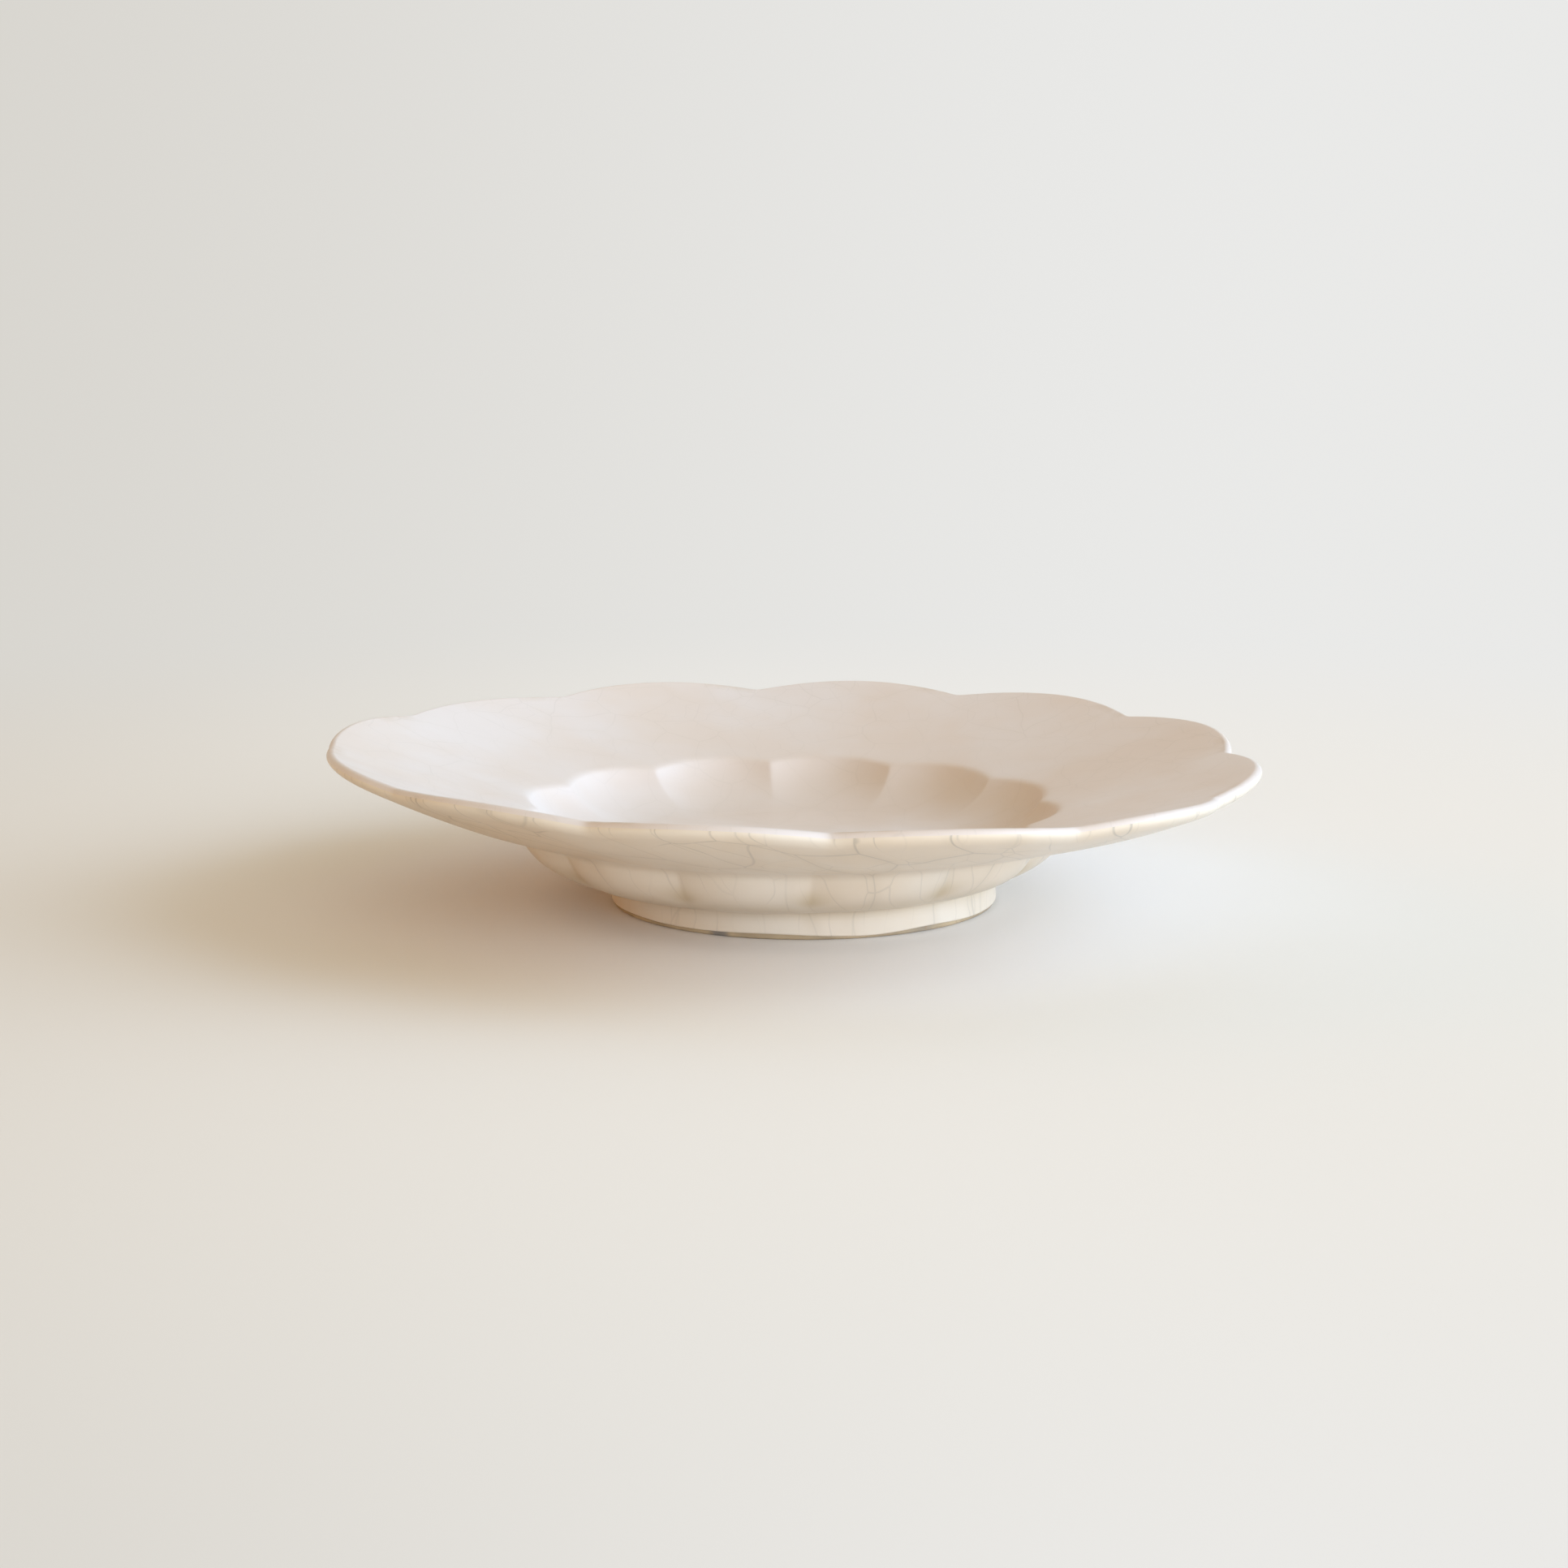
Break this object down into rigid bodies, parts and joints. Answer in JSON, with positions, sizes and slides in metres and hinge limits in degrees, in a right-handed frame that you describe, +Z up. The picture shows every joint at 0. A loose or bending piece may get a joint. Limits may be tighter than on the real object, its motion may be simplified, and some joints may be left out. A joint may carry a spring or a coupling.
{
  "type": "scalloped plate",
  "caption": "Wide-rimmed glazed stoneware plate with a scalloped lip, a fluted well and a round foot ring to stand on.",
  "frame": {"origin": "under the middle of the scalloped lip, on the surface that the foot stands on", "axes": "+Z up, +X across the plate towards the side where the lip is lowest, through a notch of the lip"},
  "size_m": [0.2058, 0.2058, 0.0381],
  "materials": {
    "body_clay": "fired buff clay, matte",
    "foot_clay": "bare fired clay, darkened by use, matte",
    "slip": "fired slip, matte",
    "face_glaze": "glossy cream crackle glaze",
    "back_glaze": "glossy cream crackle glaze",
    "foot_glaze": "glossy cream crackle glaze",
    "base_glaze": "glossy cream crackle glaze"
  },
  "bodies": {
    "root": {"plate_body": "body_clay", "foot_ring": "foot_clay", "luting_slip": "slip", "face_glaze": "face_glaze", "back_glaze": "back_glaze", "foot_glaze": "foot_glaze", "base_glaze": "base_glaze"}
  },
  "joints": []
}
